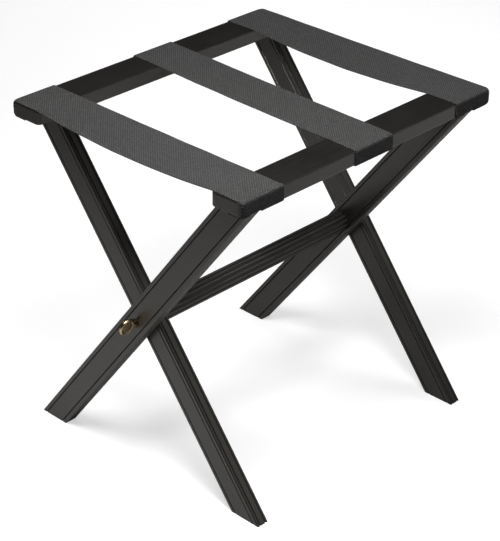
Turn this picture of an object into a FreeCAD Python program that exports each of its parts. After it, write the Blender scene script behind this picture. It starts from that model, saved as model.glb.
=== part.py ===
import FreeCAD, Part
import math
import os

# Folding luggage rack, in millimetres.
# X runs along the two rails, Y from rail to rail, Z up.
# The origin is on the floor, under the middle of the rack.
# Frame B is the rail at -Y with legs 1 and 3, frame A the rail at +Y with
# legs 2 and 4. Both frames are alike: half a turn about Z maps one on the other.

V = FreeCAD.Vector
X_AXIS = V(1, 0, 0)
Z_AXIS = V(0, 0, 1)

# overall
HEIGHT = 510.0
RAIL_LENGTH = 490.0
RAIL_OUTER_Y = 219.0

# rails
RAIL_WIDTH = 54.0
RAIL_THICK = 20.0
RAIL_PLAN_CORNER = 7.0
RAIL_EASE = 1.5

# legs
LEG_WIDTH = 41.2
LEG_THICK = 19.6
LEG_CORNER = 1.6
LEG_OUTER_X = 230.0
LEG_GAP = 1.0
GROOVE_WIDTH = 2.0
GROOVE_DEPTH = 1.5
WIDE_GROOVE_INSET = 6.8
NARROW_GROOVE_INSET = 4.7

# pivot and stretcher
PIVOT_Z = 243.5
STRETCHER_DIA = 32.0
FLUTES = 14
FLUTE_RADIUS = 4.1
FLUTE_DEPTH = 1.45
STRETCHER_GAP = 0.25
SCREW_DIA = 6.0
SCREW_LENGTH = 72.0
SCREW_HOLE_DIA = 6.16
NECK_DIA = 8.0
KNOB_OUT = 14.4
KNOB_DIA = 26.0
KNOB_RIM = 4.4
KNOB_WEB = 2.6
KNOB_TURN = 12.0
WASHER_DIA = 13.0
WASHER_THICK = 1.2
SPACER_DIA = 24.0

# webbing
STRAP_WIDTH = 73.0
STRAP_THICK = 1.8
STRAP_EDGE = 1.2
STRAP_TUCK = 24.0
STRAP_CORNER = 1.3
MID_STRAP_B = 1.5
MID_STRAP_A = 14.5

# small fixings
TACK_HEAD_DIA = 8.0
TACK_HEAD_THICK = 1.4
TACK_SHANK_DIA = 1.8
TACK_LENGTH = 12.0
RAIL_SCREW_DIA = 4.5
RAIL_SCREW_HEAD = 9.0
RAIL_SCREW_LENGTH = 50.0
RAIL_SCREW_Y = 180.0

RAIL_BOTTOM = HEIGHT - RAIL_THICK
RAIL_MID_Y = RAIL_OUTER_Y - RAIL_WIDTH / 2
LEAN = math.atan2(RAIL_MID_Y, RAIL_BOTTOM - PIVOT_Z)
HALF_LENGTH = RAIL_LENGTH / 2
LEG_INNER_X = LEG_OUTER_X - LEG_THICK - LEG_GAP
STRETCHER_HALF = LEG_INNER_X - LEG_THICK - STRETCHER_GAP


def save(shape, name):
    shape.exportStep("parts/" + name + ".step")


def half_turn(shape):
    """The same piece on the other frame, half a turn about Z away."""
    turned = shape.copy()
    turned.rotate(V(0, 0, 0), Z_AXIS, 180)
    return turned


def prism(points, direction):
    """A straight prism over a closed outline."""
    wire = Part.makePolygon(points + [points[0]])
    return Part.Face(wire).extrude(direction)


def cylinder_x(radius, x0, x1, y=0.0, z=PIVOT_Z):
    return Part.makeCylinder(radius, x1 - x0, V(x0, y, z), X_AXIS)


def spun(points, x_face, outward):
    """A piece turned about the pivot axis.

    The outline is given as (height out of the leg's face, radius)."""
    outline = [V(x_face + outward * h, 0, PIVOT_Z + r) for h, r in points]
    face = Part.Face(Part.makePolygon(outline + [outline[0]]))
    return face.revolve(V(0, 0, PIVOT_Z), X_AXIS, 360)


# ---------------------------------------------------------------- legs

def leg_blank():
    """A grooved bar along Z, centred on the origin, wide faces at +-X."""
    half = 400.0
    bar = Part.makeBox(LEG_THICK, LEG_WIDTH, 2 * half, V(-LEG_THICK / 2, -LEG_WIDTH / 2, -half))
    corners = []
    for edge in bar.Edges:
        if abs(edge.Length - 2 * half) < 1e-6:
            corners.append(edge)
    bar = bar.makeFillet(LEG_CORNER, corners)
    g = GROOVE_WIDTH / 2
    d = GROOVE_DEPTH
    cuts = []
    for side in (-1, 1):
        face_x = side * LEG_THICK / 2
        for y in (-1, 1):
            at = y * (LEG_WIDTH / 2 - WIDE_GROOVE_INSET)
            vee = [V(face_x + side, at - 2 * g, -half), V(face_x, at - g, -half)]
            vee += [V(face_x - side * d, at, -half), V(face_x, at + g, -half)]
            vee += [V(face_x + side, at + 2 * g, -half)]
            cuts.append(prism(vee, V(0, 0, 2 * half)))
        face_y = side * LEG_WIDTH / 2
        for x in (-1, 1):
            at = x * (LEG_THICK / 2 - NARROW_GROOVE_INSET)
            vee = [V(at - 2 * g, face_y + side, -half), V(at - g, face_y, -half)]
            vee += [V(at, face_y - side * d, -half), V(at + g, face_y, -half)]
            vee += [V(at + 2 * g, face_y + side, -half)]
            cuts.append(prism(vee, V(0, 0, 2 * half)))
    return bar.cut(cuts)


def leg_of_frame_b(x_mid):
    """A leg that rises from the floor at +Y to the rail at -Y."""
    leg = leg_blank()
    leg.rotate(V(0, 0, 0), X_AXIS, math.degrees(LEAN))
    leg.translate(V(x_mid, 0, PIVOT_Z))
    slab = Part.makeBox(60, 800, RAIL_BOTTOM, V(x_mid - 30, -400, 0))
    leg = leg.common(slab)
    hole = cylinder_x(SCREW_HOLE_DIA / 2, x_mid - LEG_THICK, x_mid + LEG_THICK)
    pilot_depth = RAIL_SCREW_LENGTH - RAIL_THICK + 1
    pilot = Part.makeCylinder(
        RAIL_SCREW_DIA / 2 + 0.05, pilot_depth + 1, V(x_mid, -RAIL_SCREW_Y, RAIL_BOTTOM - pilot_depth))
    return leg.cut([hole, pilot])


OUTER_MID = LEG_OUTER_X - LEG_THICK / 2
INNER_MID = LEG_INNER_X - LEG_THICK / 2
leg_1 = leg_of_frame_b(-OUTER_MID)
leg_3 = leg_of_frame_b(INNER_MID)
leg_2 = half_turn(leg_3)
leg_4 = half_turn(leg_1)


# ---------------------------------------------------------------- webbing places

def strap_span(index):
    """X of the strap's middle on rail B and on rail A."""
    end = HALF_LENGTH - STRAP_EDGE - STRAP_WIDTH / 2
    if index == 1:
        return (-end, -end)
    if index == 3:
        return (end, end)
    return (MID_STRAP_B, MID_STRAP_A)


def tack_places(index, on_rail_a):
    """X of the tacks that hold one strap end, clear of the legs' tops."""
    mid = strap_span(index)[1 if on_rail_a else 0]
    if index == 2:
        return [mid - 24, mid, mid + 24]
    away = 1 if index == 1 else -1
    wide_side = [mid + away * 28, mid + away * 16]
    outer_leg = (index == 1) != on_rail_a
    if outer_leg:
        return [mid + away * 30, mid + away * 14]
    return wide_side[:1] + [mid - away * 12]


TACK_Y = RAIL_OUTER_Y - 14.0


# ---------------------------------------------------------------- rails

def rail(side_y, leg_places, on_rail_a):
    """A flat bar with rounded ends and eased edges, bored for its fixings."""
    near_y = -RAIL_OUTER_Y if side_y < 0 else RAIL_OUTER_Y - RAIL_WIDTH
    bar = Part.makeBox(RAIL_LENGTH, RAIL_WIDTH, RAIL_THICK, V(-HALF_LENGTH, near_y, RAIL_BOTTOM))
    upright = []
    for edge in bar.Edges:
        if abs(edge.BoundBox.ZLength - RAIL_THICK) < 1e-6:
            upright.append(edge)
    bar = bar.makeFillet(RAIL_PLAN_CORNER, upright)
    round_about = []
    for edge in bar.Edges:
        if edge.BoundBox.ZLength < 1e-6:
            round_about.append(edge)
    bar = bar.makeFillet(RAIL_EASE, round_about)
    shank = RAIL_SCREW_DIA / 2 + 0.05
    head = RAIL_SCREW_HEAD / 2 + 0.4
    screw_y = side_y * RAIL_SCREW_Y
    cuts = []
    for x in leg_places:
        cuts.append(Part.makeCylinder(shank, RAIL_THICK + 2, V(x, screw_y, RAIL_BOTTOM - 1)))
        cuts.append(Part.makeCone(shank, head, head - shank, V(x, screw_y, HEIGHT - head + shank)))
    for index in (1, 2, 3):
        for x in tack_places(index, on_rail_a):
            cuts.append(Part.makeCylinder(
                TACK_SHANK_DIA / 2 + 0.04, TACK_LENGTH, V(x, side_y * TACK_Y, RAIL_BOTTOM - 0.5)))
    return bar.cut(cuts)


# ---------------------------------------------------------------- straps

def strap_outline(x):
    """The webbing's edge: over both rails, down their outer faces and under."""
    t = STRAP_THICK
    r = STRAP_CORNER
    out = RAIL_OUTER_Y
    low = RAIL_BOTTOM
    tip = out - STRAP_TUCK

    def arc(side, yc, zc, radius, a0, a1):
        pts = []
        for a in (a0, (a0 + a1) / 2, a1):
            rad = math.radians(a)
            pts.append(V(x, side * (yc + radius * math.cos(rad)), zc + radius * math.sin(rad)))
        return Part.Arc(*pts).toShape()

    edges = []
    edges.append(Part.makeLine(V(x, -(out - r), HEIGHT + t), V(x, out - r, HEIGHT + t)))
    edges.append(Part.makeLine(V(x, -(out - r), HEIGHT), V(x, out - r, HEIGHT)))
    for side in (-1, 1):
        y = side * (out - r)
        edges.append(arc(side, out - r, HEIGHT - r, r + t, 90, 0))
        edges.append(arc(side, out - r, HEIGHT - r, r, 90, 0))
        edges.append(Part.makeLine(V(x, side * (out + t), HEIGHT - r), V(x, side * (out + t), low + r)))
        edges.append(Part.makeLine(V(x, side * out, HEIGHT - r), V(x, side * out, low + r)))
        edges.append(arc(side, out - r, low + r, r + t, 0, -90))
        edges.append(arc(side, out - r, low + r, r, 0, -90))
        edges.append(Part.makeLine(V(x, y, low - t), V(x, side * tip, low - t)))
        edges.append(Part.makeLine(V(x, y, low), V(x, side * tip, low)))
        edges.append(Part.makeLine(V(x, side * tip, low - t), V(x, side * tip, low)))
    return Part.Wire(Part.__sortEdges__(edges))


def strap(index):
    at_b, at_a = strap_span(index)
    mid = (at_b + at_a) / 2
    wide = STRAP_WIDTH / 2 + 30
    web = Part.Face(strap_outline(mid - wide)).extrude(V(2 * wide, 0, 0))
    reach = RAIL_OUTER_Y + 20
    slope = (at_a - at_b) / (2 * RAIL_MID_Y)
    plan = []
    for side_x, side_y in ((-1, -1), (1, -1), (1, 1), (-1, 1)):
        y = side_y * reach
        plan.append(V(mid + slope * y + side_x * STRAP_WIDTH / 2, y, RAIL_BOTTOM - 20))
    web = web.common(prism(plan, V(0, 0, 60)))
    cuts = []
    for on_rail_a, side_y in ((False, -1), (True, 1)):
        for x in tack_places(index, on_rail_a):
            cuts.append(Part.makeCylinder(
                TACK_SHANK_DIA / 2 + 0.3, 10, V(x, side_y * TACK_Y, RAIL_BOTTOM - 6)))
        legs = (-INNER_MID, OUTER_MID) if on_rail_a else (-OUTER_MID, INNER_MID)
        for x_mid in legs:
            cuts.append(Part.makeBox(
                LEG_THICK + 2, 60, 14,
                V(x_mid - LEG_THICK / 2 - 1, side_y * RAIL_OUTER_Y - 30, RAIL_BOTTOM - 8)))
    return web.cut(cuts)


# ---------------------------------------------------------------- pivot

def stretcher():
    """A fluted round bar on the pivot axis, bored at both ends for the screws."""
    bar = cylinder_x(STRETCHER_DIA / 2, -STRETCHER_HALF, STRETCHER_HALF)
    centre = STRETCHER_DIA / 2 - FLUTE_DEPTH + FLUTE_RADIUS
    cuts = []
    for k in range(FLUTES):
        a = 2 * math.pi * (k + 0.5) / FLUTES
        y = -centre * math.cos(a)
        z = PIVOT_Z + centre * math.sin(a)
        cuts.append(cylinder_x(FLUTE_RADIUS, -STRETCHER_HALF - 1, STRETCHER_HALF + 1, y, z))
    bore = SCREW_DIA / 2 + 0.03
    depth = SCREW_LENGTH - 2 * LEG_THICK - LEG_GAP + 4
    cuts.append(cylinder_x(bore, -STRETCHER_HALF - 1, -STRETCHER_HALF + depth))
    cuts.append(cylinder_x(bore, STRETCHER_HALF - depth, STRETCHER_HALF + 1))
    return bar.cut(cuts)


def flat_washer():
    """A thin washer between the screw's neck and the outer leg."""
    bore = SCREW_DIA / 2 + 0.1
    outer = WASHER_DIA / 2
    ring = [(0.0, bore), (0.0, outer), (WASHER_THICK - 0.4, outer)]
    ring += [(WASHER_THICK, outer - 0.4), (WASHER_THICK, bore)]
    return spun(ring, -LEG_OUTER_X, -1)


def thumb_screw():
    """A screw with a flat round head to turn between finger and thumb.

    The head is a disc on edge: its middle is dished to a thin web inside a
    raised, rounded rim, and a collar joins it to the shank."""
    foot = WASHER_THICK
    neck = NECK_DIA / 2
    body = [(-SCREW_LENGTH, 0.0), (-SCREW_LENGTH + 6, 1.9), (-SCREW_LENGTH + 9, SCREW_DIA / 2)]
    body += [(foot, SCREW_DIA / 2), (foot, neck + 0.6), (foot + 0.8, neck + 0.6)]
    body += [(foot + 1.6, neck), (foot + 3.0, neck - 1.0), (foot + 6.0, 0.0)]
    shank = spun(body, -LEG_OUTER_X, -1)
    centre = V(-LEG_OUTER_X - KNOB_OUT, 0, PIVOT_Z)
    half = KNOB_RIM / 2
    edge = KNOB_DIA / 2
    web = KNOB_WEB / 2
    outline = [(0.0, -web), (edge - 4.4, -web), (edge - 3.2, -half + 0.3), (edge - 2.4, -half)]
    for k in range(0, 9):
        a = math.pi * (k / 8 - 0.5)
        outline.append((edge - half * 0.8 + half * 0.8 * math.cos(a), half * math.sin(a)))
    outline += [(edge - 2.4, half), (edge - 3.2, half - 0.3), (edge - 4.4, web), (0.0, web)]
    points = []
    for r, y in outline:
        point = centre + V(r, y, 0)
        if not points or (point - points[-1]).Length > 1e-6:
            points.append(point)
    disc = Part.Face(Part.makePolygon(points + [points[0]])).revolve(centre, V(0, 1, 0), 360)
    disc.rotate(V(0, 0, PIVOT_Z), X_AXIS, KNOB_TURN)
    return shank.fuse(disc).removeSplitter()


def spacer_washer():
    """A thin washer between the two crossing legs."""
    x0 = -LEG_OUTER_X + LEG_THICK
    ring = cylinder_x(SPACER_DIA / 2, x0, x0 + LEG_GAP)
    return ring.cut(cylinder_x(SCREW_HOLE_DIA / 2, x0 - 1, x0 + LEG_GAP + 1))


# ---------------------------------------------------------------- small fixings

def rail_screw(x_mid):
    """A countersunk screw down through the rail into the leg's top."""
    shank = Part.makeCylinder(
        RAIL_SCREW_DIA / 2, RAIL_SCREW_LENGTH - 4, V(x_mid, -RAIL_SCREW_Y, HEIGHT - RAIL_SCREW_LENGTH + 4))
    tip = Part.makeCone(
        0.4, RAIL_SCREW_DIA / 2, 4, V(x_mid, -RAIL_SCREW_Y, HEIGHT - RAIL_SCREW_LENGTH))
    rise = (RAIL_SCREW_HEAD - RAIL_SCREW_DIA) / 2
    head = Part.makeCone(
        RAIL_SCREW_DIA / 2, RAIL_SCREW_HEAD / 2, rise, V(x_mid, -RAIL_SCREW_Y, HEIGHT - rise - 0.2))
    return shank.fuse([tip, head]).removeSplitter().cut(
        Part.makeBox(20, 20, 4, V(x_mid - 10, -RAIL_SCREW_Y - 10, HEIGHT - 0.2)))


def tacks(index, on_rail_a):
    """The tacks that hold one strap end under the rail."""
    side_y = 1 if on_rail_a else -1
    places = tack_places(index, on_rail_a)
    made = []
    for x in places:
        at = V(x, side_y * TACK_Y, RAIL_BOTTOM - STRAP_THICK - 0.1)
        dome = Part.makeCylinder(TACK_HEAD_DIA / 2, TACK_HEAD_THICK, at - V(0, 0, TACK_HEAD_THICK))
        rim = [e for e in dome.Edges if abs(e.BoundBox.ZMax - (at.z - TACK_HEAD_THICK)) < 1e-6]
        dome = dome.makeFillet(TACK_HEAD_THICK * 0.7, rim[:1])
        shank = Part.makeCylinder(TACK_SHANK_DIA / 2, TACK_LENGTH - 3, at)
        point = Part.makeCone(TACK_SHANK_DIA / 2, 0.2, 2.0, at + V(0, 0, TACK_LENGTH - 3))
        made.append(dome.fuse([shank, point]).removeSplitter())
    return made


os.makedirs("parts", exist_ok=True)

save(rail(-1, (-OUTER_MID, INNER_MID), False), "rail_b")
save(rail(1, (-INNER_MID, OUTER_MID), True), "rail_a")
save(leg_1, "leg_1")
save(leg_2, "leg_2")
save(leg_3, "leg_3")
save(leg_4, "leg_4")
save(stretcher(), "stretcher")
for number in (1, 2, 3):
    save(strap(number), "strap_%d" % number)
near_screw = thumb_screw()
near_washer = flat_washer()
near_spacer = spacer_washer()
save(near_screw, "thumb_screw_1")
save(half_turn(near_screw), "thumb_screw_2")
save(near_washer, "flat_washer_1")
save(half_turn(near_washer), "flat_washer_2")
save(near_spacer, "spacer_washer_1")
save(half_turn(near_spacer), "spacer_washer_2")
outer_screw = rail_screw(-OUTER_MID)
inner_screw = rail_screw(INNER_MID)
save(outer_screw, "rail_screw_1")
save(half_turn(inner_screw), "rail_screw_2")
save(inner_screw, "rail_screw_3")
save(half_turn(outer_screw), "rail_screw_4")
for number in (1, 2, 3):
    for rail_name, is_a in (("b", False), ("a", True)):
        for k, tack in enumerate(tacks(number, is_a), 1):
            save(tack, "tack_%s%d_%d" % (rail_name, number, k))
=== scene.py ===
import math

import bpy
import numpy as np
from mathutils import Matrix, Vector

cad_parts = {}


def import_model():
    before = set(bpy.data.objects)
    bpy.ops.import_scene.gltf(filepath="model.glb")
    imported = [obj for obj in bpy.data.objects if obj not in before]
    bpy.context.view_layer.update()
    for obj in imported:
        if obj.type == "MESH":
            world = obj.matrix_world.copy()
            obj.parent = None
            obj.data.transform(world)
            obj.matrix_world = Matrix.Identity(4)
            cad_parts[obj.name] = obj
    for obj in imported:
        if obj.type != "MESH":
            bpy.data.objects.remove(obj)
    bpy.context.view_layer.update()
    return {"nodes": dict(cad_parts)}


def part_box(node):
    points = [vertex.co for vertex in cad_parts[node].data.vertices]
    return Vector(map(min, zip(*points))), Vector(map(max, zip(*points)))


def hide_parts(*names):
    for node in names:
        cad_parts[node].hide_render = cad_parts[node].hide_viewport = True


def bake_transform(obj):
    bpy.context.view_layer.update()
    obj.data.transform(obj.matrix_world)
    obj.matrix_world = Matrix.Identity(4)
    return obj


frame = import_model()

# Folding luggage rack. Metres, Z up, the same frame as the CAD.
# +X runs along the rails, rail_b is at -Y and rail_a at +Y.

NODES = frame["nodes"]
SCENE = bpy.context.scene

LEAN = math.radians(37.92)
PIVOT_Z = 0.2435


# ---------------------------------------------------------------- node helpers

class Graph:
    """A material's node tree, with short ways to add and join nodes."""

    def __init__(self, name):
        self.material = bpy.data.materials.new(name)
        self.material.use_nodes = True
        self.tree = self.material.node_tree
        self.tree.nodes.clear()
        self.shader = self.node("ShaderNodeBsdfPrincipled")
        output = self.node("ShaderNodeOutputMaterial")
        self.join(self.shader.outputs[0], output.inputs["Surface"])

    def node(self, kind, **settings):
        made = self.tree.nodes.new(kind)
        for key, value in settings.items():
            setattr(made, key, value)
        return made

    def join(self, source, target):
        self.tree.links.new(source, target)

    def feed(self, socket, value):
        if isinstance(value, bpy.types.NodeSocket):
            self.join(value, socket)
        else:
            socket.default_value = value

    def math(self, operation, first, second=0.0, third=0.0):
        made = self.node("ShaderNodeMath", operation=operation)
        for socket, value in zip(made.inputs, (first, second, third)):
            self.feed(socket, value)
        return made.outputs[0]

    def place(self, rotation=(0, 0, 0), scale=(1, 1, 1)):
        """Object coordinates, turned and stretched."""
        source = self.node("ShaderNodeTexCoord").outputs["Object"]
        turn = self.node("ShaderNodeMapping")
        turn.inputs["Rotation"].default_value = rotation
        self.join(source, turn.inputs["Vector"])
        stretch = self.node("ShaderNodeMapping")
        stretch.inputs["Scale"].default_value = scale
        self.join(turn.outputs[0], stretch.inputs["Vector"])
        return stretch.outputs[0]

    def radius(self, height):
        """Distance from the level line along X at this height."""
        split = self.node("ShaderNodeSeparateXYZ")
        self.join(self.place(), split.inputs[0])
        rise = self.math("SUBTRACT", split.outputs[2], height)
        level_square = self.math("POWER", split.outputs[1], 2.0)
        rise_square = self.math("POWER", rise, 2.0)
        return self.math("SQRT", self.math("ADD", level_square, rise_square))

    def upness(self):
        """1 on the tops, 0 on the sides, -1 underneath, in the piece's own axes."""
        split = self.node("ShaderNodeSeparateXYZ")
        self.join(self.node("ShaderNodeTexCoord").outputs["Normal"], split.inputs[0])
        return split.outputs[2]

    def noise(self, vector, scale, detail=3.0, rough=0.5):
        made = self.node("ShaderNodeTexNoise")
        self.join(vector, made.inputs["Vector"])
        made.inputs["Scale"].default_value = scale
        made.inputs["Detail"].default_value = detail
        made.inputs["Roughness"].default_value = rough
        return made.outputs[0]

    def ramp(self, value, stops):
        made = self.node("ShaderNodeValToRGB")
        band = made.color_ramp
        while len(band.elements) < len(stops):
            band.elements.new(0.5)
        for element, (at, colour) in zip(band.elements, stops):
            element.position = at
            element.color = (*colour, 1.0)
        self.join(value, made.inputs[0])
        return made.outputs[0]

    def remap(self, value, low, high, from_low=0.0, from_high=1.0):
        made = self.node("ShaderNodeMapRange")
        self.join(value, made.inputs["Value"])
        made.inputs["From Min"].default_value = from_low
        made.inputs["From Max"].default_value = from_high
        made.inputs["To Min"].default_value = low
        made.inputs["To Max"].default_value = high
        return made.outputs[0]

    def bump(self, height, distance, strength=1.0, normal=None):
        made = self.node("ShaderNodeBump")
        made.inputs["Strength"].default_value = strength
        made.inputs["Distance"].default_value = distance
        self.join(height, made.inputs["Height"])
        if normal is not None:
            self.join(normal, made.inputs["Normal"])
        return made.outputs[0]

    def set(self, **sockets):
        for name, value in sockets.items():
            self.feed(self.shader.inputs[name.replace("_", " ")], value)


# ---------------------------------------------------------------- materials

# extra light the floor shows straight to the camera
FLOOR_LIFT = 0.57
FLOOR_GREYS = ((0.545, 0.545, 0.545), (0.56, 0.56, 0.56))

# lacquered wood
GRAIN_STRETCH = 14.0
LACQUER_DEEP = (0.0046, 0.0044, 0.0042)
LACQUER_MID = (0.0066, 0.0063, 0.0060)
LACQUER_THIN = (0.0098, 0.0092, 0.0086)
LACQUER_TINT = (1.0, 0.935, 0.85, 1.0)
LACQUER_IOR = 1.62
BAR_IOR = 1.42
UNDER_ROUGH = 0.20
# the fluted bar's ridges are painted lighter: a painted highlight along each ridge
RIDGE_PAINTED_HIGHLIGHT = (0.0380, 0.0361, 0.0338)
RIDGE_FOOT = 0.01545
RIDGE_CREST = 0.01590
RIDGE_HIGHLIGHT_LIFT = 0.40

# brass: how far from the rack's middle the painted shade near the leg ends
LEG_SHADE_DARK_TO = 0.2325
LEG_SHADE_CLEAR_FROM = 0.2400

# webbing
YARN_ACROSS = 0.0020
YARN_ALONG = 0.0022
YARN_DEPTH = 0.00045
# painted light on the tops and painted shade on the sides and undersides of the wraps
SIDE_PAINTED_SHADE = -0.15
TOP_PAINTED_LIGHT = 0.04
WEB_DARK = (0.0050, 0.0050, 0.0050)
WEB_MID = (0.0195, 0.0193, 0.0190)
WEB_PALE = (0.0520, 0.0514, 0.0504)


def black_wood(name, rotation, grain_along, under_rough=0.0, fluted=False):
    """Satin black lacquer over straight-grained hardwood.

    The grain runs along X or Z, as grain_along says, after the turn by
    rotation. The undersides are duller by under_rough, where the lacquer went
    on thinner. On a fluted bar the ridges are painted lighter: a painted highlight along each ridge."""
    g = Graph(name)
    if grain_along == "X":
        along = g.place(rotation, (1.0, GRAIN_STRETCH, GRAIN_STRETCH))
    else:
        along = g.place(rotation, (GRAIN_STRETCH, GRAIN_STRETCH, 1.0))
    plain = g.place()
    grain = g.noise(along, 40.0, 4.0, 0.6)
    pores = g.noise(along, 150.0, 2.0, 0.5)
    cloud = g.noise(plain, 9.0, 2.0, 0.5)
    speck = g.noise(plain, 900.0, 1.0, 0.5)
    mixed = g.math("ADD", g.math("MULTIPLY", grain, 0.6), g.math("MULTIPLY", cloud, 0.4))
    shade = mixed
    if fluted:
        # painted highlight: the base colour is lifted along the ridges of the flutes
        ridge_highlight = g.remap(g.radius(PIVOT_Z), 0.0, RIDGE_HIGHLIGHT_LIFT, RIDGE_FOOT, RIDGE_CREST)
        shade = g.math("ADD", mixed, ridge_highlight)
    g.set(Base_Color=g.ramp(shade, [
        (0.30, LACQUER_DEEP),
        (0.52, LACQUER_MID),
        (0.72, LACQUER_THIN),
        (0.95, RIDGE_PAINTED_HIGHLIGHT),
    ]))
    below = g.remap(g.upness(), under_rough, 0.0, -0.6, -0.3)
    worn = g.math("ADD", g.remap(mixed, 0.26, 0.36, 0.3, 0.7), g.remap(speck, -0.02, 0.02))
    g.set(Roughness=g.math("ADD", worn, below))
    fine = g.bump(pores, 0.00006, 0.5)
    g.set(Normal=g.bump(grain, 0.00012, 0.45, fine))
    g.shader.inputs["IOR"].default_value = BAR_IOR if fluted else LACQUER_IOR
    g.shader.inputs["Specular Tint"].default_value = LACQUER_TINT
    return g.material


def webbing():
    """Tightly woven charcoal webbing: warp yarns along the strap, picks across.

    The tops are painted lighter and the sides of the wraps darker: painted light and shade by which way
    a face turns."""
    g = Graph("webbing_weave")
    uv = g.node("ShaderNodeUVMap")
    uv.uv_map = "weave"
    split = g.node("ShaderNodeSeparateXYZ")
    g.join(uv.outputs[0], split.inputs[0])
    across = g.math("DIVIDE", split.outputs[0], YARN_ACROSS)
    column = g.math("FLOOR", across)
    along = g.math("DIVIDE", split.outputs[1], YARN_ALONG)
    pick = g.math("FLOOR", along)
    yarn = g.math("SINE", g.math("MULTIPLY", g.math("FRACT", across), math.pi))
    crown = g.math("SINE", g.math("MULTIPLY", g.math("FRACT", along), math.pi))
    height = g.math("POWER", g.math("MULTIPLY", yarn, crown), 0.5)
    cell = g.node("ShaderNodeCombineXYZ")
    g.join(column, cell.inputs[0])
    g.join(pick, cell.inputs[1])
    random = g.node("ShaderNodeTexWhiteNoise", noise_dimensions="2D")
    g.join(cell.outputs[0], random.inputs["Vector"])
    slub = g.noise(g.place(), 900.0, 2.0, 0.6)
    uneven = g.math("ADD", g.remap(random.outputs[0], -0.20, 0.20), g.remap(slub, -0.08, 0.08, 0.3, 0.7))
    warp_over = g.math("FLOORED_MODULO", g.math("ADD", column, pick), 2.0)
    tone = g.math("ADD", uneven, g.remap(warp_over, -0.24, 0.24))
    # painted light and shade: tops lighter, sides and undersides darker
    painted_light_by_facing = g.remap(g.upness(), SIDE_PAINTED_SHADE, TOP_PAINTED_LIGHT, 0.2, 0.9)
    # the yarn height also lifts the colour: painted shade in the gaps between yarns, lighter on the
    # crowns
    level = g.math("ADD", g.math("MULTIPLY", height, 0.75), g.math("ADD", tone, painted_light_by_facing))
    g.set(Base_Color=g.ramp(level, [
        (0.0, WEB_DARK),
        (0.5, WEB_MID),
        (1.0, WEB_PALE),
    ]))
    g.set(Roughness=g.remap(random.outputs[0], 0.78, 0.92))
    fibre = g.noise(g.place(), 2600.0, 2.0, 0.6)
    fine = g.bump(fibre, 0.00008, 0.4)
    g.set(Normal=g.bump(height, YARN_DEPTH, 0.9, fine))
    g.shader.inputs["Specular IOR Level"].default_value = 0.12
    g.shader.inputs["Sheen Weight"].default_value = 0.04
    g.shader.inputs["Sheen Roughness"].default_value = 0.5
    return g.material


def metal(name, colour, dark, roughness, shade_near_leg=False):
    """Turned metal with faint tool marks and patches of tarnish.

    A piece given the flag is painted darker close to the leg: painted shade where it meets the leg."""
    g = Graph(name)
    plain = g.place()
    marks = g.noise(plain, 260.0, 3.0, 0.6)
    metal_tone = g.noise(plain, 70.0, 3.0, 0.6)
    if shade_near_leg:
        split = g.node("ShaderNodeSeparateXYZ")
        g.join(plain, split.inputs[0])
        out = g.math("ABSOLUTE", split.outputs[0])
        # painted shade: darker close to the leg, clear further out
        painted_leg_shade = g.remap(out, -0.40, 0.08, LEG_SHADE_DARK_TO, LEG_SHADE_CLEAR_FROM)
        metal_tone = g.math("ADD", metal_tone, painted_leg_shade)
    g.set(Base_Color=g.ramp(metal_tone, [(0.30, dark), (0.62, colour)]))
    g.set(Roughness=g.remap(marks, roughness * 0.75, roughness * 1.35))
    g.set(Normal=g.bump(marks, 0.00004, 0.35))
    g.shader.inputs["Metallic"].default_value = 1.0
    return g.material


def nylon():
    """Moulded black nylon with a fine grain."""
    g = Graph("nylon_black")
    speck = g.noise(g.place(), 500.0, 3.0, 0.6)
    g.set(Base_Color=g.ramp(speck, [(0.3, (0.010, 0.010, 0.010)), (0.7, (0.019, 0.019, 0.019))]))
    g.set(Roughness=g.remap(speck, 0.42, 0.6))
    g.set(Normal=g.bump(speck, 0.00005, 0.4))
    return g.material


def floor_material():
    """A pale matt floor, lifted towards white where it is looked at directly."""
    g = Graph("pale_floor")
    speck = g.noise(g.place(), 60.0, 4.0, 0.6)
    g.set(Base_Color=g.ramp(speck, [(0.3, FLOOR_GREYS[0]), (0.7, FLOOR_GREYS[1])]))
    g.shader.inputs["Roughness"].default_value = 0.9
    g.shader.inputs["Specular IOR Level"].default_value = 0.1
    path = g.node("ShaderNodeLightPath")
    g.feed(g.shader.inputs["Emission Color"], (1.0, 1.0, 1.0, 1.0))
    lift = g.math("MULTIPLY", path.outputs["Is Camera Ray"], FLOOR_LIFT)
    g.join(lift, g.shader.inputs["Emission Strength"])
    return g.material


def dress(node, material):
    """Give a CAD node this material and no other."""
    mesh = NODES[node].data
    mesh.materials.clear()
    mesh.materials.append(material)


RAIL_WOOD = black_wood("black_wood_rails", (0, 0, 0), "X")
BAR_WOOD = black_wood("black_wood_stretcher", (0, 0, 0), "X", fluted=True)
LEG_WOOD_B = black_wood("black_wood_legs_b", (-LEAN, 0, 0), "Z", UNDER_ROUGH)
LEG_WOOD_A = black_wood("black_wood_legs_a", (LEAN, 0, 0), "Z", UNDER_ROUGH)
WEB = webbing()
# the brass is painted darker close to the leg: painted shade under the knob's head
BRASS = metal("aged_brass_painted_shade", (0.60, 0.47, 0.29), (0.085, 0.062, 0.038), 0.26, shade_near_leg=True)
STEEL = metal("tack_steel", (0.56, 0.55, 0.53), (0.32, 0.31, 0.30), 0.32)
NYLON = nylon()

for name in ("rail_a", "rail_b"):
    dress(name, RAIL_WOOD)
dress("stretcher", BAR_WOOD)
for name in ("leg_1", "leg_3"):
    dress(name, LEG_WOOD_B)
for name in ("leg_2", "leg_4"):
    dress(name, LEG_WOOD_A)
for name in NODES:
    if name.startswith(("tack_", "rail_screw_")):
        dress(name, STEEL)
    if name.startswith(("thumb_screw_", "flat_washer_")):
        dress(name, BRASS)
    if name.startswith("spacer_washer_"):
        dress(name, NYLON)


# ---------------------------------------------------------------- webbing straps

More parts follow.
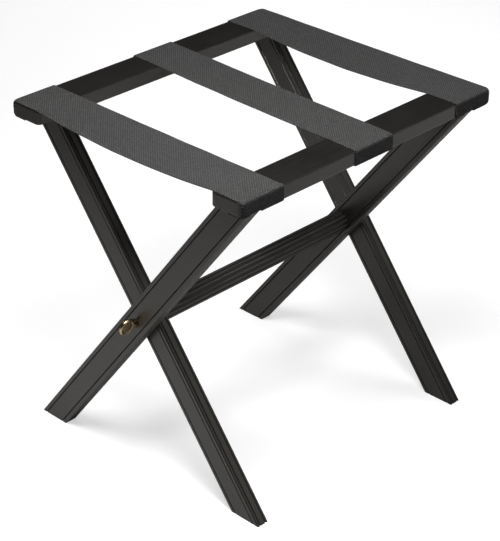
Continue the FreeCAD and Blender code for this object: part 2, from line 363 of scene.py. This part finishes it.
STRAP_WIDTH = 0.0730
STRAP_THICK = 0.0018
EDGE_THIN = 0.55
EDGE_TAPER = 0.0012
EDGE_BULGE = 0.45
RAIL_OUT = 0.2190
RAIL_TOP = 0.5100
RAIL_LOW = 0.4900
RAIL_HALF = 0.2450
PLAN_CORNER = 0.0070

# half the free span between the rails, and the distance between the rail middles
FREE_Y = 0.1680
RAIL_APART = 0.3840

# inner radius of the folds, and how it grows near a rail's rounded end
FOLD = 0.0014
SOFT_FOLD = 0.0060
SOFT_REACH = 0.0160
TUCK_TIP = 0.1950
LEG_CLEAR = 0.0010
NOTCH_RISE = 0.0016

# sag of the strap's outer and inner edge
END_SAG = (0.0085, 0.0006)
MIDDLE_SAG = (0.0015, 0.0008)
SAG_SPREAD = 1.4

# the middle strap lies slightly askew
MIDDLE_AT_B = 0.0015
MIDDLE_AT_A = 0.0145

# small unevenness of the cloth
RIPPLE = 0.00012
WANDER = 0.00015

ACROSS_PLACES = 33
TOP_ROWS = 86
ARC_ROWS = 8
DROP_ROWS = 8
UNDER_ROWS = 10


def half_path(out, inner):
    """The strap's middle surface from the centre out over a rail and under it.

    out is how far out the rail's face lies, inner the fold's inner radius.
    Returns rows of (arc length, y, z, normal y, normal z)."""
    h = STRAP_THICK / 2
    r = inner + h
    flat = out - inner
    rows = []
    for y in np.linspace(0.0, flat, TOP_ROWS):
        rows.append((y, y, RAIL_TOP + h, 0.0, 1.0))
    s = flat
    for k in range(1, ARC_ROWS + 1):
        a = math.pi / 2 * (1 - k / ARC_ROWS)
        rows.append((s + r * math.pi / 2 * k / ARC_ROWS, flat + r * math.cos(a),
                     RAIL_TOP - inner + r * math.sin(a), math.cos(a), math.sin(a)))
    s += r * math.pi / 2
    drop = RAIL_TOP - RAIL_LOW - 2 * inner
    for k in range(1, DROP_ROWS + 1):
        step = drop * k / DROP_ROWS
        rows.append((s + step, flat + r, RAIL_TOP - inner - step, 1.0, 0.0))
    s += drop
    for k in range(1, ARC_ROWS + 1):
        a = -math.pi / 2 * k / ARC_ROWS
        rows.append((s + r * math.pi / 2 * k / ARC_ROWS, flat + r * math.cos(a),
                     RAIL_LOW + inner + r * math.sin(a), math.cos(a), math.sin(a)))
    s += r * math.pi / 2
    reach = flat - TUCK_TIP
    for k in range(1, UNDER_ROWS + 1):
        step = reach * k / UNDER_ROWS
        rows.append((s + step, flat - step, RAIL_LOW - h, 0.0, -1.0))
    return rows


def stations(x, end_side):
    """The whole path at one place across a strap, tuck to tuck.

    Near a rail's rounded end the fold turns softer and follows the corner in."""
    out = RAIL_OUT
    inner = FOLD
    if end_side:
        past = abs(x) - (RAIL_HALF - PLAN_CORNER)
        if past > 0:
            past = min(past, PLAN_CORNER * 0.95)
            out -= 0.5 * (PLAN_CORNER - math.sqrt(PLAN_CORNER ** 2 - past ** 2))
        near = min(1.0, max(0.0, (abs(x) - (RAIL_HALF - SOFT_REACH)) / SOFT_REACH))
        inner += (SOFT_FOLD - FOLD) * near ** 3
    half = half_path(out, inner)
    left = [(-s, -y, z, -ny, nz) for s, y, z, ny, nz in reversed(half[1:])]
    return left + half


def columns(cuts):
    """Places across the strap, closer together at its edges and at any cut."""
    half = STRAP_WIDTH / 2
    places = set(np.round(np.linspace(-half, half, ACROSS_PLACES), 6))
    for edge in (-half, half, *cuts):
        for step in (0.0, 0.0004, 0.0010):
            for sign in (-1, 1):
                u = edge + sign * step
                if -half <= u <= half:
                    places.add(round(u, 6))
    ordered = sorted(places)
    kept = [ordered[0]]
    for u in ordered[1:]:
        if u - kept[-1] > 0.00025:
            kept.append(u)
    return kept


def make_strap(number, at_b, at_a, sag, legs_b, legs_a):
    """One strap as a closed, woven band of real thickness, notched round the legs."""
    plain = stations(0.0, False)
    half = STRAP_WIDTH / 2
    cuts_b = [tuple(e - at_b for e in leg) for leg in legs_b]
    cuts_a = [tuple(e - at_a for e in leg) for leg in legs_a]
    us = columns([e for cut in cuts_b + cuts_a for e in cut])
    nu = len(us)
    ns = len(plain)
    grid = [stations(at_b + u, number != 2) for u in us]
    arc = (FOLD + STRAP_THICK / 2) * math.pi / 2
    cut_s = RAIL_OUT - FOLD + arc + (RAIL_TOP - FOLD) - (RAIL_LOW + NOTCH_RISE)
    present = np.ones((nu - 1, ns - 1), bool)
    for i in range(nu - 1):
        u = (us[i] + us[i + 1]) / 2
        for j in range(ns - 1):
            s = (plain[j][0] + plain[j + 1][0]) / 2
            cuts = cuts_b if s < 0 else cuts_a
            for low, high in cuts:
                if abs(s) > cut_s and low < u < high:
                    present[i, j] = False

    def around(i, j):
        """Which of the four cells about a grid point are there."""
        found = []
        for di in (-1, 0):
            for dj in (-1, 0):
                a, b = i + di, j + dj
                if 0 <= a < nu - 1 and 0 <= b < ns - 1 and present[a, b]:
                    found.append((di + 0.5, dj + 0.5))
        return found

    verts = []
    uvs = []
    top = -np.ones((nu, ns), int)
    low = -np.ones((nu, ns), int)
    rim = {}
    for i, u in enumerate(us):
        for j, (s, y, z, ny, nz) in enumerate(grid[i]):
            cells = around(i, j)
            if not cells:
                continue
            mid_x = (at_b + at_a) / 2 + (at_a - at_b) * y / RAIL_APART
            near = 0.5 - u / STRAP_WIDTH
            span = max(0.0, 1 - (y / FREE_Y) ** 2)
            drop = 0.0
            if z > RAIL_TOP:
                drop = span * (sag[0] * near ** SAG_SPREAD + sag[1] * (1 - near) ** SAG_SPREAD)
            ripple = RIPPLE * math.sin(s * 61 + number) * (u / half)
            x = mid_x + u + WANDER * math.sin(s * 83 + 2 * number)
            centre = Vector((x, y, z - drop + ripple * span))
            normal = Vector((0, ny, nz))
            tangent = Vector((0, nz, -ny))
            edge_gap = min(half - abs(u), EDGE_TAPER) / EDGE_TAPER
            full = STRAP_THICK / 2
            thin = full * (EDGE_THIN + (1 - EDGE_THIN) * math.sqrt(edge_gap))
            if len(cells) < 4:
                thin = full * EDGE_THIN
            top[i, j] = len(verts)
            verts.append(centre + normal * thin)
            low[i, j] = len(verts)
            verts.append(centre - normal * thin)
            uvs += [(u + at_b, s), (u + at_b, s)]
            if len(cells) < 4:
                out_u = -sum(c[0] for c in cells)
                out_s = -sum(c[1] for c in cells)
                size = math.hypot(out_u, out_s) or 1.0
                outward = Vector((out_u / size, 0, 0)) + tangent * (out_s / size)
                rim[(i, j)] = len(verts)
                verts.append(centre + outward * full * EDGE_BULGE)
                uvs.append((u + at_b, s))
    faces = []
    for i in range(nu - 1):
        for j in range(ns - 1):
            if not present[i, j]:
                continue
            faces.append((top[i, j], top[i + 1, j], top[i + 1, j + 1], top[i, j + 1]))
            faces.append((low[i, j], low[i, j + 1], low[i + 1, j + 1], low[i + 1, j]))
            sides = (
                ((i, j), (i, j + 1), (i - 1, j)),
                ((i + 1, j + 1), (i + 1, j), (i + 1, j)),
                ((i + 1, j), (i, j), (i, j - 1)),
                ((i, j + 1), (i + 1, j + 1), (i, j + 1)),
            )
            for p, q, beyond in sides:
                a, b = beyond
                if 0 <= a < nu - 1 and 0 <= b < ns - 1 and present[a, b]:
                    continue
                faces.append((top[p], top[q], rim[q], rim[p]))
                faces.append((rim[p], rim[q], low[q], low[p]))
    mesh = bpy.data.meshes.new("strap_web_%d" % number)
    mesh.from_pydata([tuple(v) for v in verts], [], [tuple(int(k) for k in f) for f in faces])
    layer = mesh.uv_layers.new(name="weave")
    corner_verts = np.zeros(len(mesh.loops), int)
    mesh.loops.foreach_get("vertex_index", corner_verts)
    table = np.array(uvs, float)[corner_verts]
    layer.data.foreach_set("uv", table.ravel())
    mesh.polygons.foreach_set("use_smooth", [True] * len(mesh.polygons))
    mesh.validate()
    mesh.update()
    strap = bpy.data.objects.new("strap_web_%d" % number, mesh)
    SCENE.collection.objects.link(strap)
    mesh.materials.append(WEB)
    node = "strap_%d" % number
    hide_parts(node)
    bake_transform(strap)


def leg_range(node):
    """The stretch along the rail that a leg takes up, with a little room."""
    low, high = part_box(node)
    return (low.x - LEG_CLEAR, high.x + LEG_CLEAR)


def strap_middle(node):
    """Where the CAD strap's middle lies along the rail."""
    low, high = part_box(node)
    return (low.x + high.x) / 2


make_strap(1, strap_middle("strap_1"), strap_middle("strap_1"), END_SAG,
           [leg_range("leg_1")], [leg_range("leg_2")])
make_strap(2, MIDDLE_AT_B, MIDDLE_AT_A, MIDDLE_SAG, [], [])
make_strap(3, strap_middle("strap_3"), strap_middle("strap_3"), END_SAG,
           [leg_range("leg_3")], [leg_range("leg_4")])


# ---------------------------------------------------------------- floor

def floor():
    """The pale ground the rack stands on."""
    mesh = bpy.data.meshes.new("floor")
    size = 14.0
    corners = [(-size, -size, 0), (size, -size, 0), (size, size, 0), (-size, size, 0)]
    mesh.from_pydata(corners, [], [(0, 1, 2, 3)])
    mesh.materials.append(floor_material())
    made = bpy.data.objects.new("floor", mesh)
    SCENE.collection.objects.link(made)


floor()


# ---------------------------------------------------------------- light

def area_light(name, place, target, size, power, spread=180):
    """A soft white rectangle of light at place, facing target; spread in degrees."""
    data = bpy.data.lights.new(name, "AREA")
    data.shape = "RECTANGLE"
    data.size, data.size_y = size
    data.energy = power
    data.spread = math.radians(spread)
    made = bpy.data.objects.new(name, data)
    made.location = place
    made.rotation_euler = (Vector(target) - Vector(place)).to_track_quat("-Z", "Y").to_euler()
    SCENE.collection.objects.link(made)


area_light("key", (-0.42, -0.24, 1.46), (-0.1, -0.05, 0.4), (0.6, 0.6), 22.0)
area_light("key_low", (-0.26, -0.24, 1.16), (-0.15, -0.1, 0.4), (0.4, 0.4), 6.8)
area_light("front_card", (0.8, -2.4, 0.9), (0, 0, 0.3), (1.4, 0.8), 3.4)
area_light("high_card", (1.9, -2.1, 1.75), (0, 0, 0.3), (1.4, 1.0), 4.2)
area_light("floor_left", (-1.0, 0.25, 1.4), (-1.0, 0.25, 0), (0.8, 0.8), 1.1, 70)
area_light("floor_back", (1.3, 1.3, 2.4), (1.3, 1.3, 0), (2.0, 2.0), 8.8, 70)
area_light("floor_right", (1.3, -0.7, 1.6), (1.3, -0.7, 0), (1.0, 1.0), 7.5, 90)


ROOM_LIGHT = 0.0120


def world():
    """A dim room that the camera sees as white."""
    made = bpy.data.worlds.new("studio")
    made.use_nodes = True
    tree = made.node_tree
    tree.nodes.clear()
    output = tree.nodes.new("ShaderNodeOutputWorld")
    room = tree.nodes.new("ShaderNodeBackground")
    seen = tree.nodes.new("ShaderNodeBackground")
    mix = tree.nodes.new("ShaderNodeMixShader")
    path = tree.nodes.new("ShaderNodeLightPath")
    room.inputs[0].default_value = (1, 1, 1, 1)
    room.inputs[1].default_value = ROOM_LIGHT
    seen.inputs[0].default_value = (1, 1, 1, 1)
    tree.links.new(path.outputs["Is Camera Ray"], mix.inputs[0])
    tree.links.new(room.outputs[0], mix.inputs[1])
    tree.links.new(seen.outputs[0], mix.inputs[2])
    tree.links.new(mix.outputs[0], output.inputs[0])
    SCENE.world = made


world()


# ---------------------------------------------------------------- camera

CAMERA_PLACE = (-1.5855, -1.5427, 1.4829)
CAMERA_YAW = 0.7974
CAMERA_PITCH = -0.5141
CAMERA_ROLL = 0.0019
CAMERA_LENS = 126.17


def camera():
    """The viewpoint, level but for a slight roll, looking down on the rack."""
    level = Vector((math.sin(CAMERA_YAW), math.cos(CAMERA_YAW), 0))
    forward = level * math.cos(CAMERA_PITCH) + Vector((0, 0, math.sin(CAMERA_PITCH)))
    right = Vector((math.cos(CAMERA_YAW), -math.sin(CAMERA_YAW), 0))
    up = right.cross(forward)
    side = right * math.cos(CAMERA_ROLL) + up * math.sin(CAMERA_ROLL)
    over = up * math.cos(CAMERA_ROLL) - right * math.sin(CAMERA_ROLL)
    turn = Matrix((side, over, -forward)).transposed()
    data = bpy.data.cameras.new("view")
    data.sensor_fit = "HORIZONTAL"
    data.sensor_width = 36.0
    data.lens = CAMERA_LENS
    made = bpy.data.objects.new("view", data)
    made.matrix_world = Matrix.Translation(CAMERA_PLACE) @ turn.to_4x4()
    SCENE.collection.objects.link(made)
    SCENE.camera = made


camera()
SCENE.view_settings.view_transform = "Standard"
